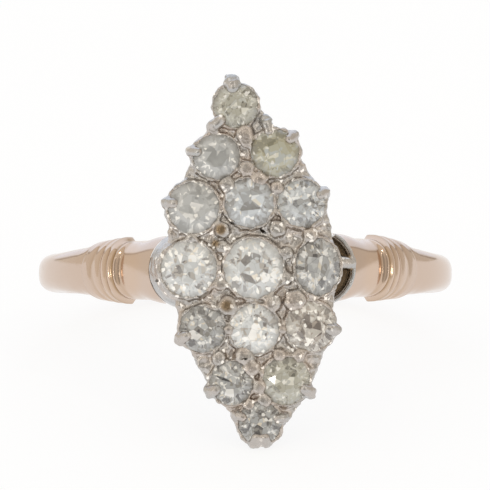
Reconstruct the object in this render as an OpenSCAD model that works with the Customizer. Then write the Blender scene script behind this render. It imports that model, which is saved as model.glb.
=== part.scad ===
// Diamond cluster ring: a pale gold shank with reeded collars and a pierced
// white-metal head in the shape of a pointed oval, set with fifteen old-cut diamonds.
// Inside the modules the ring stands with the finger axis along Y and the head
// towards +Z. The last step lays it on its side, as it rests on a table.

/* [Finger hole and shank] */
// Radius of the finger hole
bore_r = 8.65; // [8.3:0.05:9]
// Thickness of the shank at the back
shank_t = 1.3; // [1.1:0.05:1.5]
// Width of the shank at the back
shank_w = 1.85; // [1.6:0.05:2.2]
// Width of the shoulders where they meet the head
shoulder_w = 3.2; // [3:0.05:3.4]
// Width of the shoulders at their waist, before the collars
waist_w = 2.8; // [2.6:0.05:2.9]
// Thickness of the shoulders beside the head
shoulder_t = 2.6; // [2.2:0.05:2.8]
// How square the edges of the shank are, 2 for an ellipse
edge_power = 2.7; // [2.2:0.1:3.2]

/* [Collars] */
// Angle from the head to the far end of the raised collar
collar_angle = 53; // [49:0.5:55]
// Height of the raised collar
collar_h = 0.1; // [0.05:0.01:0.16]
// How far the collar stands out at the edges of the shank
flank_h = 0.17; // [0.1:0.01:0.2]
// Angle from the head to the ridge nearest to it, at mid width
ridge_angle = 37.5; // [36:0.5:39]
// Number of ridges on each collar
ridge_count = 3; // [2:1:3]
// Angle between ridges
ridge_step = 2.5; // [2.3:0.1:2.7]
// Height of a ridge
ridge_h = 0.2; // [0.1:0.01:0.24]
// How far the ends of a ridge sweep towards the head, in degrees
ridge_bow = 1.5; // [0.5:0.5:3]

/* [Head] */
// Height of the centre stone's girdle above the finger axis
girdle_z = 11.95; // [11.8:0.05:12.2]
// How far the outermost stones lie below the centre one
dome_drop = 0.35; // [0.2:0.05:0.4]
// Outward lean of the outermost stones of the long rows, in degrees
dome_lean = 5; // [3:0.5:7]
// Wall of a collet round its stone
collet_wall = 0.16; // [0.12:0.01:0.2]
// Length of the lower gallery rail
rail_l = 12.4; // [11:0.2:13]
// Width of the lower gallery rail
rail_w = 6.4; // [6:0.1:7]
// Lean of the head's long axis, in degrees
head_lean = 4.5; // [3:0.5:6]

/* [Diamonds] */
// Table width as a share of the girdle diameter
table_share = 0.5; // [0.44:0.01:0.56]
// Crown height as a share of the diameter
crown_share = 0.17; // [0.14:0.01:0.19]
// Pavilion depth as a share of the diameter
pavilion_share = 0.44; // [0.41:0.01:0.46]
// Culet width as a share of the diameter
culet_share = 0.09; // [0.05:0.01:0.12]
// Girdle thickness as a share of the diameter
girdle_share = 0.03; // [0.02:0.005:0.04]
// Gap between a diamond and the metal
stone_gap = 0.03; // [0.02:0.005:0.05]

/* [Hidden] */
$fn = 48;

// Columns of the stone table
X = 0;
Y = 1;
DIAMETER = 2;
SPIN = 3;
NARROW = 4;

// One row for each diamond, from the top of the head down and left to right:
// place on the head in millimetres from the centre stone, diameter, turn of the facets,
// and for an oval stone its width as a share of its height
STONES = [
    [-0.81, 7.56, 2.15, 10],
    [-1.72, 5.19, 2.20, 31], [1.02, 5.38, 2.30, 5],
    [-2.78, 2.81, 2.50, 18], [-0.19, 3.04, 2.38, 40], [2.25, 3.01, 2.28, 0],
    [-2.99, -0.02, 2.70, 24], [0, 0, 2.90, 8], [2.99, 0.07, 2.76, 36, 0.79],
    [-2.37, -2.81, 2.22, 3], [0.05, -2.81, 2.40, 21], [2.64, -2.67, 2.40, 12],
    [-1.01, -5.31, 2.10, 28], [1.51, -5.19, 2.32, 16],
    [0.30, -7.17, 2.10, 33]];

// Columns of the claw table; X and Y are as above
CLAW_R = 2;

// Claws on the outline of the head: place and radius of the rounded tip
OUTER_CLAWS = [
    [-0.99, 8.62, 0.42],
    [-1.83, 6.61, 0.36], [0.58, 6.86, 0.32],
    [-2.85, 5.45, 0.30], [1.83, 6.15, 0.32],
    [-3.92, 3.06, 0.33], [3.32, 3.55, 0.30],
    [-3.32, -3.22, 0.35], [3.72, -2.85, 0.36],
    [-1.94, -5.70, 0.38], [2.60, -5.70, 0.36],
    [-0.78, -6.80, 0.28], [1.42, -6.90, 0.28],
    [0.08, -8.06, 0.34], [0.60, -8.04, 0.32]];

// Claws and beads between the stones
INNER_CLAWS = [
    [-0.40, 6.25, 0.30], [-0.30, 5.95, 0.22], [-0.32, 4.65, 0.26],
    [-1.22, 3.90, 0.30], [0.28, 4.16, 0.30], [1.10, 3.75, 0.22],
    [-1.45, 1.80, 0.26], [1.12, 1.85, 0.28], [2.62, 1.55, 0.24],
    [-1.46, 1.02, 0.22], [-2.90, 1.44, 0.22],
    [1.52, 0.72, 0.22], [1.55, -0.45, 0.20], [-1.52, -0.75, 0.20],
    [-1.22, -1.72, 0.32], [0.90, -1.62, 0.28], [1.95, -1.47, 0.36],
    [-1.12, -2.85, 0.18], [1.35, -2.85, 0.18],
    [-0.42, -4.05, 0.34], [1.20, -4.02, 0.22], [-0.10, -4.62, 0.28],
    [2.10, -4.05, 0.22], [-1.60, -4.15, 0.22], [0.28, -5.45, 0.24],
    [0.53, -6.12, 0.30], [-0.20, -6.30, 0.20]];

// Pointed gussets between the outer collets: place of the point
GUSSETS = [
    [-3.05, 4.35], [2.55, 4.55], [-3.95, 1.60], [3.60, 1.95],
    [-3.55, -1.65], [3.75, -1.60], [-2.45, -4.55], [2.85, -4.35]];

// Half spans at which the head's dome reaches its full drop and lean
dome_x = 3;
dome_y = 7.5;

// Depth of the cups below the girdles, and the plate that ties them together
cup_h = 1.05;
plate_t = 0.6;
plate_l = 16.4;
plate_w = 7.6;

// Depth and height of the beads about the girdles
bead_depth = 0.9;
bead_rise = 0.12;

// Lower gallery rail and the two rails that close the finger hole under the head
rail_z = 9.6;
rail_h = 0.5;
rail_t = 0.5;
saddle_gap = 0.03;
saddle_w = 0.6;
saddle_y = 1.25;
strut_r = 0.24;
foot_share = 0.68;
knee_share = 0.95;
knee_depth = 0.95;
claw_rise = 0.02;

// White cheeks: curved walls round the two stones beside the shoulders
SIDE_STONES = [STONES[6], STONES[8]];
cheek_r = 1.85;
cheek_t = 0.22;
cheek_low = 8.4;
cheek_top = 10.95;
bar_h = 0.6;
bar_y = 0.2;
bar_t = 0.45;
solder_w = 2;
solder_t = 0.6;
joint_gap = 0.03;

// Angle from the head at which the gold is cut off before it meets the cheeks
shank_end = 18;

// Steps along the shank and across it
fine_step = 0.45;
coarse_step = 7.5;
across = 10;

// Degrees over which the collar's height sets in, and fades at the shank's edges
collar_edge = 1.2;
flank_edge = 6;

// Sides of the rods and of the cups round the stones
rod_sides = 8;
bore_sides = 60;
cup_sides = 16;

// Flat part of the shank's sides, on each side of the bore's wall
inner_wall = 0.25;

// Width and thickness of the shank at an angle from the head
function ease(t) = let (u = min(1, max(0, t))) u * u * (3 - 2 * u);
function shank_width(a) =
    shank_w + (waist_w - shank_w) * ease((82 - a) / 54)
    + (shoulder_w - waist_w) * ease((31 - a) / 6);
function shank_thick(a) =
    shank_t + (shoulder_t - shank_t) * ease((48 - a) / 26);

// Height of the collar and its ridges at an angle from the head, at mid width
function bump(t) = exp(-t * t);
function ridge_at(a, k) = bump((a - ridge_angle - k * ridge_step) / (ridge_step * 0.36));
function ridges(a) = ridge_h * max([for (k = [0:ridge_count - 1]) ridge_at(a, k)]);
function near_end(a) = ease((a - ridge_angle + collar_edge) / collar_edge);
function relief(a) =
    collar_h * ease((collar_angle - a) / collar_edge) * near_end(a) + ridges(a);
function flank(a) = flank_h * ease((collar_angle - a) / flank_edge) * near_end(a);

// Sweep of a section's edges towards the head, full at the collar
function bow(a) =
    ridge_bow * ease((a - shank_end) / (ridge_angle - shank_end)) * ease((78 - a) / 24);

// One section of the shank, as points [radius, y, angle]
function curve(v) = sign(v) * pow(abs(v), 2 / edge_power);
function section(a) =
    let (half_w = shank_width(a) / 2,
         side = bore_r + inner_wall,
         high = shank_thick(a) - inner_wall,
         lift = relief(a))
    concat(
        [[bore_r - inner_wall, -half_w, a - bow(a)]],
        [for (i = [0:across])
            let (t = -90 + 180 * i / across,
                 s = curve(sin(t)),
                 c = curve(cos(t)))
            [side + (high + lift) * c, (half_w + flank(a)) * s, a - bow(a) * s * s]],
        [[bore_r - inner_wall, half_w, a - bow(a)]]);

// Angles of the sections from one end round the back to the other
plain_angles = [for (a = [shank_end:2.5:ridge_angle - 2]) a];
ridge_angles = [for (a = [ridge_angle - 1.8:fine_step:ridge_angle + 7]) a];
collar_angles = concat([46, 22.25 + collar_angle / 2],
    [for (o = [-1.5:0.4:0.1]) collar_angle + o], [collar_angle + 2, collar_angle + 4.5]);
far_angles = [for (a = [60:coarse_step:180]) a];
half_angles = concat(plain_angles, ridge_angles, collar_angles, far_angles);
last_half = len(half_angles) - 1;
angles = concat(half_angles, [for (i = [last_half - 1:-1:0]) 360 - half_angles[i]]);

// Tip of the head and back edge of the shank, on which the ring rests. The edge is
// the point of the back section that lies lowest at about the resting angle.
tip_claw = OUTER_CLAWS[13];
tip_z = girdle_z - dome_drop + claw_rise;
about_angle = 19.5;
function depth_of(p) = p[0] * sin(about_angle) - p[1] * cos(about_angle);
back_edge = let (back = section(180), deepest = max([for (p = back) depth_of(p)]))
    [for (p = back) if (depth_of(p) == deepest) p][0];
reach_y = back_edge[1] - tip_claw[Y];
reach_z = back_edge[0] + tip_z;
lie_angle = atan2(reach_y, reach_z) + asin(tip_claw[CLAW_R] / norm([reach_y, reach_z]));
floor_drop = tip_claw[CLAW_R] - tip_claw[Y] * cos(lie_angle) - tip_z * sin(lie_angle);

// Middle of the resting ring, front to back
front_y = (tip_z + tip_claw[CLAW_R]) * cos(lie_angle) - tip_claw[Y] * sin(lie_angle);
back_y = (bore_r + shank_t) * cos(lie_angle);
middle_y = (front_y - back_y) / 2;

// Lays the ring on its side with its lowest points on the ground
module lay_down() {
    translate([0, middle_y, floor_drop]) rotate([90 - lie_angle, 0, 0]) children();
}

// Moves to the girdle of a stone or the foot of a claw on the domed face
function drop_at(p) = dome_drop * min(1, pow(p[X] / dome_x, 2) * 0.5 + pow(p[Y] / dome_y, 2));
function face_z(p) = girdle_z - drop_at(p);
module at_face(p) {
    lean_x = dome_lean * p[X] / dome_x;
    lean_y = -dome_lean * p[Y] / dome_y;
    translate([p[X], p[Y], face_z(p)]) rotate([lean_y, lean_x, 0]) children();
}

// Radii and heights of a brilliant's rings of corners, from table to culet
function table_r(r) = r * table_share;
function star_r(r) = r * (table_share + 0.26);
function lower_r(r) = r * 0.34;
function culet_r(r) = r * culet_share;
function crown_z(r) = 2 * r * crown_share;
function depth_z(r) = 2 * r * pavilion_share;
function half_girdle(r) = r * girdle_share;
function star_z(r) = crown_z(r) * (r - star_r(r) * cos(22.5)) / (r - table_r(r));
function lower_z(r) = depth_z(r) * (r - lower_r(r) * cos(22.5)) / (r - culet_r(r));

// Width of a stone as a share of its height
function narrow(s) = len(s) > NARROW ? s[NARROW] : 1;

// Eight corners on a circle, the first at the given angle
function corners(r, z, first) =
    [for (k = [0:7]) [r * cos(first + 45 * k), r * sin(first + 45 * k), z]];

// Old-cut brilliant with its girdle at height 0
module brilliant(d, spin) {
    r = d / 2;
    half = half_girdle(r);
    table = corners(table_r(r), half + crown_z(r), 0);
    star = corners(star_r(r), half + star_z(r), 22.5);
    lower = corners(lower_r(r), -half - lower_z(r), 22.5);
    culet = corners(culet_r(r), -half - depth_z(r), 0);
    top = [for (j = [0:15]) [r * cos(22.5 * j), r * sin(22.5 * j), half]];
    bottom = [for (p = top) [p[0], p[1], -half]];
    STAR = 8;
    TOP = 16;
    BOTTOM = 32;
    LOWER = 48;
    CULET = 56;
    faces = concat(
        [[7, 6, 5, 4, 3, 2, 1, 0]],
        [for (k = [0:7]) [k, (k + 1) % 8, STAR + k]],
        [for (k = [0:7]) [k, STAR + k, TOP + 2 * k, STAR + (k + 7) % 8]],
        [for (k = [0:7]) [STAR + k, TOP + 2 * k + 1, TOP + 2 * k]],
        [for (k = [0:7]) [STAR + k, TOP + (2 * k + 2) % 16, TOP + 2 * k + 1]],
        [for (j = [0:15]) [TOP + j, TOP + (j + 1) % 16, BOTTOM + (j + 1) % 16, BOTTOM + j]],
        [for (k = [0:7]) [LOWER + k, BOTTOM + 2 * k, BOTTOM + 2 * k + 1]],
        [for (k = [0:7]) [LOWER + k, BOTTOM + 2 * k + 1, BOTTOM + (2 * k + 2) % 16]],
        [for (k = [0:7])
            [CULET + k, LOWER + (k + 7) % 8, BOTTOM + 2 * k, LOWER + k]],
        [[for (k = [0:7]) CULET + k]],
        [for (k = [0:7]) [CULET + k, LOWER + k, CULET + (k + 1) % 8]]);
    rotate([0, 0, spin])
        polyhedron(concat(table, star, top, bottom, lower, culet), faces, convexity = 2);
}

// Space that a stone takes in the metal: its sixteen-sided outline and the gap
module stone_space(s) {
    r = s[DIAMETER] / 2;
    half = half_girdle(r);
    gap = stone_gap;
    scale([narrow(s), 1, 1]) rotate([0, 0, s[SPIN]]) rotate_extrude($fn = 16) polygon([
        [0, -half - depth_z(r) - gap],
        [culet_r(r) + gap, -half - depth_z(r) - gap],
        [lower_r(r) + gap, -half - lower_z(r) - gap],
        [r + gap, -half - gap / 2],
        [r + gap, half + gap / 2],
        [star_r(r) + gap, half + star_z(r) + gap],
        [table_r(r) + gap, half + crown_z(r) + gap],
        [0, half + crown_z(r) + gap]]);
}

// Rod with round ends, thicker at one of them if the radii differ
module rod(a, b, r1, r2) {
    hull() {
        translate(a) sphere(r1, $fn = rod_sides);
        translate(b) sphere(r2, $fn = rod_sides);
    }
}

// Round outline with straight sides
function round_outline(r, n) = [for (k = [0:n - 1]) r * [cos(360 * k / n), sin(360 * k / n)]];

// Pointed oval made by two arcs
module pointed_oval(l, w) {
    r = (l * l + w * w) / (4 * w);
    intersection() {
        translate([r - w / 2, 0]) circle(r, $fn = 40);
        translate([w / 2 - r, 0]) circle(r, $fn = 40);
    }
}

module shank() {
    count = len(angles);
    ring_points = len(section(90));
    points = [for (a = angles) for (p = section(min(a, 360 - a)))
        let (turn = a > 180 ? 360 - p[2] : p[2])
        [p[0] * sin(turn), p[1], p[0] * cos(turn)]];
    sides = [for (i = [0:count - 2]) for (j = [0:ring_points - 1])
        let (a = i * ring_points + j,
             b = i * ring_points + (j + 1) % ring_points)
        each [[a, b, b + ring_points], [a, b + ring_points, a + ring_points]]];
    caps = [[for (j = [ring_points - 1:-1:0]) j],
            [for (j = [0:ring_points - 1]) (count - 1) * ring_points + j]];
    color([0.85, 0.72, 0.64]) lay_down() difference() {
        difference() {
            polyhedron(points, concat(sides, caps), convexity = 6);
            for (s = SIDE_STONES) translate([s[X], s[Y], 5])
                linear_extrude(9) polygon(round_outline(cheek_r, 30));
        }
        rotate([90, 0, 0])
            cylinder(h = 2 * shoulder_w, r = bore_r, center = true, $fn = bore_sides);
    }
}

// Tapered cup round one stone
module collet(s) {
    r = s[DIAMETER] / 2;
    at_face(s) scale([narrow(s), 1, 1]) translate([0, 0, -cup_h])
        cylinder(h = cup_h + 0.02, r1 = r * 0.68 + collet_wall, r2 = r + collet_wall,
                 $fn = cup_sides);
}

// Open back of one collet
module collet_hole(s) {
    r = s[DIAMETER] / 2;
    at_face(s) scale([narrow(s), 1, 1]) translate([0, 0, -cup_h - 0.5])
        cylinder(h = cup_h + 0.5, r1 = r * 0.6, r2 = r * 0.84, $fn = 12);
}

// Middle of the lower rail on the side and at the share of the height of a claw
function rail_point(c) =
    let (y = min(rail_l / 2 - rail_t, max(rail_t - rail_l / 2, c[Y] * foot_share)),
         r = (rail_l * rail_l + rail_w * rail_w) / (4 * rail_w),
         half = sqrt(r * r - y * y) - r + rail_w / 2 - rail_t / 2,
         side = sign(c[X] + c[Y] * tan(head_lean)))
    [side * half * cos(head_lean) - y * sin(head_lean),
     side * half * sin(head_lean) + y * cos(head_lean), rail_z + rail_h / 2];

// Claw on the outline: a strut from the lower rail, a stem and a rounded tip
module outer_claw(c) {
    foot = rail_point(c);
    knee = [c[X] * knee_share, c[Y] * knee_share, face_z(c) - knee_depth];
    tip = [c[X], c[Y], face_z(c) + claw_rise];
    rod(foot, knee, strut_r, strut_r);
    rod(knee, tip, c[CLAW_R] * 0.75, c[CLAW_R]);
}

// Bead raised between the stones
module inner_claw(c) {
    translate([c[X], c[Y], face_z(c)]) hull() {
        translate([0, 0, -bead_depth]) cylinder(h = 0.05, r = c[CLAW_R], $fn = rod_sides);
        translate([0, 0, bead_rise]) sphere(c[CLAW_R], $fn = rod_sides);
    }
}

// Pointed web between two outer collets
module gusset(g) {
    z = face_z(g);
    turn = atan2(sign(g[Y]) * 0.5, sign(g[X]));
    translate([g[X], g[Y], z - cup_h]) rotate([0, 0, turn])
        linear_extrude(cup_h - 0.15)
            polygon([[0, 0], [-0.7, -0.42], [-1.4, 0], [-0.7, 0.42]]);
}

// Pierced plate that ties the collets and claws together
module face_plate() {
    translate([0, 0, girdle_z - cup_h]) rotate([0, 0, head_lean]) linear_extrude(plate_t)
        pointed_oval(plate_l, plate_w);
}

// Pointed lower rail under the cups
module lower_rail() {
    translate([0, 0, rail_z]) rotate([0, 0, head_lean]) linear_extrude(rail_h) difference() {
        pointed_oval(rail_l, rail_w);
        pointed_oval(rail_l - 4.2 * rail_t, rail_w - 2 * rail_t);
    }
}

// Two curved rails that close the finger hole under the head, from cheek to cheek
module finger_rails() {
    intersection() {
        rotate([90, 0, 0]) difference() {
            cylinder(h = 2 * saddle_y + saddle_w, r = rail_z + 0.15, center = true,
                     $fn = bore_sides);
            cylinder(h = 2 * saddle_y - saddle_w, r = rail_z + 1, center = true);
            cylinder(h = 9, r = bore_r + saddle_gap, center = true, $fn = bore_sides);
        }
        linear_extrude(12) hull()
            for (p = SIDE_STONES) translate([p[X], p[Y]]) circle(cheek_r - joint_gap - cheek_t / 3);
    }
}

// White wall at the end of one shoulder, curved round the stone beside it
module cheek(s) {
    outer = cheek_r - joint_gap;
    side = sign(s[X]);
    intersection() {
        translate([s[X], s[Y], cheek_low]) difference() {
            cylinder(h = cheek_top - cheek_low, r = outer, $fn = 40);
            translate([0, 0, -1]) cylinder(h = 5, r = outer - cheek_t, $fn = 40);
        }
        translate([side > 0 ? s[X] + 0.55 : s[X] - 0.55 - 3, -shoulder_w / 2, 5])
            cube([3, shoulder_w, 10]);
    }
}

// Cups, plate and gussets, open at the back behind each stone
module cups() {
    difference() {
        union() {
            face_plate();
            for (s = STONES) collet(s);
            for (g = GUSSETS) gusset(g);
        }
        for (s = STONES) collet_hole(s);
    }
}

module head() {
    color([0.80, 0.79, 0.77]) lay_down() difference() {
        union() {
            cups();
            for (c = OUTER_CLAWS) outer_claw(c);
            for (c = INNER_CLAWS) inner_claw(c);
            lower_rail();
            finger_rails();
            for (s = SIDE_STONES) cheek(s);
            translate([4, bar_y - bar_h / 2, cheek_top - bar_t]) cube([0.7, bar_h, bar_t]);
            translate([-4.7, -solder_w / 2, cheek_top - solder_t])
                cube([0.7, solder_w, solder_t]);
        }
        rotate([90, 0, 0])
            cylinder(h = 7, r = bore_r + saddle_gap, center = true, $fn = bore_sides);
        for (s = STONES) at_face(s) stone_space(s);
    }
}

// One diamond in its collet
module diamond(i) {
    s = STONES[i];
    color([0.88, 0.90, 0.92]) lay_down() at_face(s) scale([narrow(s), 1, 1])
        brilliant(s[DIAMETER], s[SPIN]);
}

shank();
head();
diamond(0);  // diamond_01
diamond(1);  // diamond_02
diamond(2);  // diamond_03
diamond(3);  // diamond_04
diamond(4);  // diamond_05
diamond(5);  // diamond_06
diamond(6);  // diamond_07
diamond(7);  // diamond_08
diamond(8);  // diamond_09
diamond(9);  // diamond_10
diamond(10);  // diamond_11
diamond(11);  // diamond_12
diamond(12);  // diamond_13
diamond(13);  // diamond_14
diamond(14);  // diamond_15
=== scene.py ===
from collections import namedtuple
from math import asin, atan2, copysign, cos, pi, radians, sin, sqrt, tan

import bmesh
import bpy
import numpy as np
from mathutils import Matrix, Vector
from mathutils.geometry import delaunay_2d_cdt


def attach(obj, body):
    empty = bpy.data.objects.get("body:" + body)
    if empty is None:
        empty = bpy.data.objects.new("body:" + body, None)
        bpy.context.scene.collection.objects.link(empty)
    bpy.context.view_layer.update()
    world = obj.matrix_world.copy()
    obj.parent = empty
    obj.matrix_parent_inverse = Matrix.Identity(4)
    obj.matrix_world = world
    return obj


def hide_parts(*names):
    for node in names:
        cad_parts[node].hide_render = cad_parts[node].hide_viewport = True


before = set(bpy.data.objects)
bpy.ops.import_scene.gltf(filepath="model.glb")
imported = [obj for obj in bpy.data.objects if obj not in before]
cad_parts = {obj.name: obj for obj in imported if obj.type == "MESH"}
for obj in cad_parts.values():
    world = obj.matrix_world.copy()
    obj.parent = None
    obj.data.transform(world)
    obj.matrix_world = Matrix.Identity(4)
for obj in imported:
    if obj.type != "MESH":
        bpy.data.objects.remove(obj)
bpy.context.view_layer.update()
print("frame loaded")

# How the ring lies: lean of its face in degrees, lift and shift in millimetres
lying = {"leanBack": 19.7612, "lift": 3.99661, "shift": 2.30836}
metres = 0.001
leaning = Matrix.Rotation(radians(90 - lying["leanBack"]), 4, "X")
toRow = Matrix.Scale(metres, 4) @ Matrix.Translation((0, lying["shift"], lying["lift"])) @ leaning


# Node graphs

class Wire:  # an output socket that can stand in a sum
    def __init__(self, graph, socket):
        self.graph, self.socket = graph, socket

    def other(self, name):
        return Wire(self.graph, self.socket.node.outputs[name])

    def calc(self, operation, *others):
        return self.graph.sums(operation, self, *others)

    def __neg__(self):
        return self * -1


# every sign takes a Wire or a number on either side
signs = {"add": "ADD", "sub": "SUBTRACT", "mul": "MULTIPLY", "truediv": "DIVIDE", "pow": "POWER"}
for sign, way in signs.items():
    setattr(Wire, f"__{sign}__", lambda left, right, way=way: left.graph.sums(way, left, right))
    setattr(Wire, f"__r{sign}__", lambda right, left, way=way: right.graph.sums(way, left, right))


class Graph:
    def __init__(self, tree):
        self.tree = tree
        tree.nodes.clear()

    def add(self, kind, values=None, output=0, **settings):
        node = self.tree.nodes.new(kind)
        for key, value in settings.items():
            if key == "stops":
                ramp = node.color_ramp
                while len(ramp.elements) < len(value):
                    ramp.elements.new(1)
                for element, (place, colour) in zip(ramp.elements, value):
                    element.position, element.color = place, (*colour, 1)
                ramp.interpolation = "CONSTANT"
            else:
                setattr(node, key, value)
        for key, value in (values or {}).items():
            socket = node.inputs[key]
            if isinstance(value, Wire):
                self.tree.links.new(value.socket, socket)
            else:
                socket.default_value = (*value, 1) if socket.type == "RGBA" else value
        return Wire(self, node.outputs[output]) if node.outputs else node

    def sums(self, operation, *parts):
        return self.add("ShaderNodeMath", dict(enumerate(parts)), operation=operation)

    def ease(self, value, low, high, start=0.0, end=1.0):
        return self.add("ShaderNodeMapRange", {0: value, 1: low, 2: high, 3: start, 4: end},
                        interpolation_type="SMOOTHSTEP")

    def blend(self, share, first, second, way="MIX"):
        return self.add("ShaderNodeMix", {0: share, 6: first, 7: second}, 2,
                        data_type="RGBA", blend_type=way)

    def split(self, vector):
        x = self.add("ShaderNodeSeparateXYZ", {0: vector})
        return x, x.other("Y"), x.other("Z")

    def join(self, x, y, z):
        return self.add("ShaderNodeCombineXYZ", {0: x, 1: y, 2: z})

    def choose(self, share, first, second):
        return self.add("ShaderNodeMix", {0: share, 2: first, 3: second})

    def texture(self, kind, where, scale, output=0, **values):
        place = {"Vector": where} if where else {}
        return self.add("ShaderNodeTex" + kind, {**place, "Scale": scale, **values}, output)

    def mark(self, name, output="Fac"):
        return self.add("ShaderNodeAttribute", output=output, attribute_name=name)


def finish(name, rule, *given):
    # material whose surface is what the rule returns
    material = bpy.data.materials.new(name)
    material.use_nodes = True
    graph = Graph(material.node_tree)
    graph.add("ShaderNodeOutputMaterial", {"Surface": rule(graph, *given)})
    return material


def linked(name, data):
    made = bpy.data.objects.new(name, data)
    bpy.context.scene.collection.objects.link(made)
    return made


def grow(name, rule, sizes, material, base=None):
    # makes the rule's Geometry Nodes tree, with a named input for each size, runs it on a mesh
    # and keeps the result as a plain mesh object
    sizes = {**sizes, "Finish": material}
    tree = bpy.data.node_groups.new(name + "Rule", "GeometryNodeTree")
    tree.interface.new_socket("Geometry", in_out="INPUT", socket_type="NodeSocketGeometry")
    inputs = {}
    for label, value in sizes.items():
        kind = type(value).__name__.title()  # Float, Int, Object or Material
        inputs[label] = tree.interface.new_socket(label, in_out="INPUT", socket_type="NodeSocket" + kind)
    tree.interface.new_socket("Geometry", in_out="OUTPUT", socket_type="NodeSocketGeometry")
    graph = Graph(tree)
    start = graph.add("NodeGroupInput")
    shape = rule(graph, start, {label: start.other(label) for label in sizes})
    real = graph.add("GeometryNodeRealizeInstances", {0: shape})
    graph.add("NodeGroupOutput", {0: graph.add("GeometryNodeSetMaterial", {
        "Geometry": real, "Material": start.other("Finish")})})
    host = linked(name + "Host", base or bpy.data.meshes.new(name + "Base"))
    modifier = host.modifiers.new("shape", "NODES")
    modifier.node_group = tree
    for label, value in sizes.items():
        modifier[inputs[label].identifier] = value
    return bake(host, name)


def bake(host, name):
    seen = host.evaluated_get(bpy.context.evaluated_depsgraph_get())
    mesh = bpy.data.meshes.new_from_object(seen)
    bpy.data.objects.remove(host)
    return linked(name, mesh)


def modify(thing, kind, **settings):
    modifier = thing.modifiers.new(kind.lower(), kind)
    for key, value in settings.items():
        setattr(modifier, key, value)


def meshOf(name, points, faces=(), edges=(), **attributes):
    mesh = bpy.data.meshes.new(name)
    mesh.from_pydata([tuple(p) for p in points], list(edges), list(faces))
    for label, values in attributes.items():
        flat = np.array(values, float)
        kind = "FLOAT" if flat.ndim == 1 else "FLOAT_VECTOR"
        layer = mesh.attributes.new(label, kind, "POINT")
        layer.data.foreach_set("value" if flat.ndim == 1 else "vector", flat.ravel())
    return mesh


def joined(name, *things):
    bm = bmesh.new()
    for thing in things:
        bm.from_mesh(thing.data)
        bpy.data.objects.remove(thing)
    mesh = bpy.data.meshes.new(name)
    bm.to_mesh(mesh)
    bm.free()
    return linked(name, mesh)


def smoothShade(thing, sharpAngle, outward=False):
    bm = bmesh.new()
    bm.from_mesh(thing.data)
    if outward:
        bmesh.ops.recalc_face_normals(bm, faces=bm.faces)
    for face in bm.faces:
        face.smooth = True
    for edge in bm.edges:
        edge.smooth = len(edge.link_faces) == 2 and edge.calc_face_angle() < radians(sharpAngle)
    bm.to_mesh(thing.data)
    bm.free()


def circle(count):
    return np.linspace(0, 2 * pi, count, endpoint=False)


def skin(name, rings, closed=False):
    # solid over rings of points; the last ring joins the first one, or both are capped
    n, count = len(rings[0]), len(rings)
    faces = []
    for k in range(count if closed else count - 1):
        here, there = n * k, n * ((k + 1) % count)
        faces += [(here + j, here + (j + 1) % n, there + (j + 1) % n, there + j) for j in range(n)]
    if not closed:
        faces += [list(range(n))[::-1], list(range(n * count - n, n * count))]
    made = linked(name, meshOf(name, [point for ring in rings for point in ring], faces))
    smoothShade(made, 40, outward=True)
    return made


def layDown(thing, material):
    thing.data.transform(toRow)
    thing.data.materials.clear()
    thing.data.materials.append(material)
    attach(thing, "root")


# Finishes. They are laid out in object metres, so their scales are per metre

goldLook = {"colour": (0.625, 0.49, 0.4), "pale": (0.655, 0.535, 0.455), "groove": (0.4, 0.265, 0.15),
            "collar": (0.67, 0.49, 0.355), "collarShare": 0.45, "collarFrom": (0.005, 0.0056),
            "collarTo": (0.0078, 0.0066), "roughness": 0.1, "patchScale": 260.0, "scratchScale": 5200.0}


def goldFinish(graph, look):
    where = graph.add("ShaderNodeTexCoord", output="Object")
    patches = graph.texture("Noise", where, look["patchScale"], Detail=4.0)
    along = graph.add("ShaderNodeMapping", {"Vector": where, "Scale": (1.0, 0.16, 1.0)})
    scratches = graph.texture("Noise", along, look["scratchScale"], Detail=3.0)
    wear = graph.ease(patches, 0.42, 0.68)
    colour = graph.blend(wear * 0.6, look["colour"], look["pale"])
    # the collars are yellower than the rest, and their grooves are darker brown, which also carries
    # a painted shadow at the end of the left collar's knob
    side = graph.split(where)[0].calc("ABSOLUTE")
    collar = graph.ease(side, *look["collarFrom"]) * graph.ease(side, *look["collarTo"])
    colour = graph.blend(collar * look["collarShare"], colour, look["collar"])
    colour = graph.blend((graph.mark("groove") * 0.8).calc("MINIMUM", 1.0), colour, look["groove"])
    roughness = look["roughness"] + wear * 0.08 + graph.ease(scratches, 0.55, 0.75) * 0.1
    bump = graph.add("ShaderNodeBump", {"Strength": 0.1, "Distance": 0.00001, "Height": scratches})
    return graph.add("ShaderNodeBsdfPrincipled", {
        "Base Color": colour, "Metallic": 1.0, "Roughness": roughness, "Normal": bump})


silverLook = {"colour": (0.49, 0.492, 0.488), "warm": (0.53, 0.5, 0.475), "grime": (0.15, 0.11, 0.075),
              "rust": (0.3, 0.22, 0.14), "roughness": 0.27, "patchScale": 900.0, "grainScale": 5200.0,
              "unevenScale": 2600.0, "cellScale": 6800.0, "specks": 0.06, "sparkle": 0.055,
              "sparkleColour": (1.0, 0.95, 0.86), "sparkleLight": 0.55,
              "wornTint": (0.92, 0.86, 0.81), "mottle": 0.28}


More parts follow.
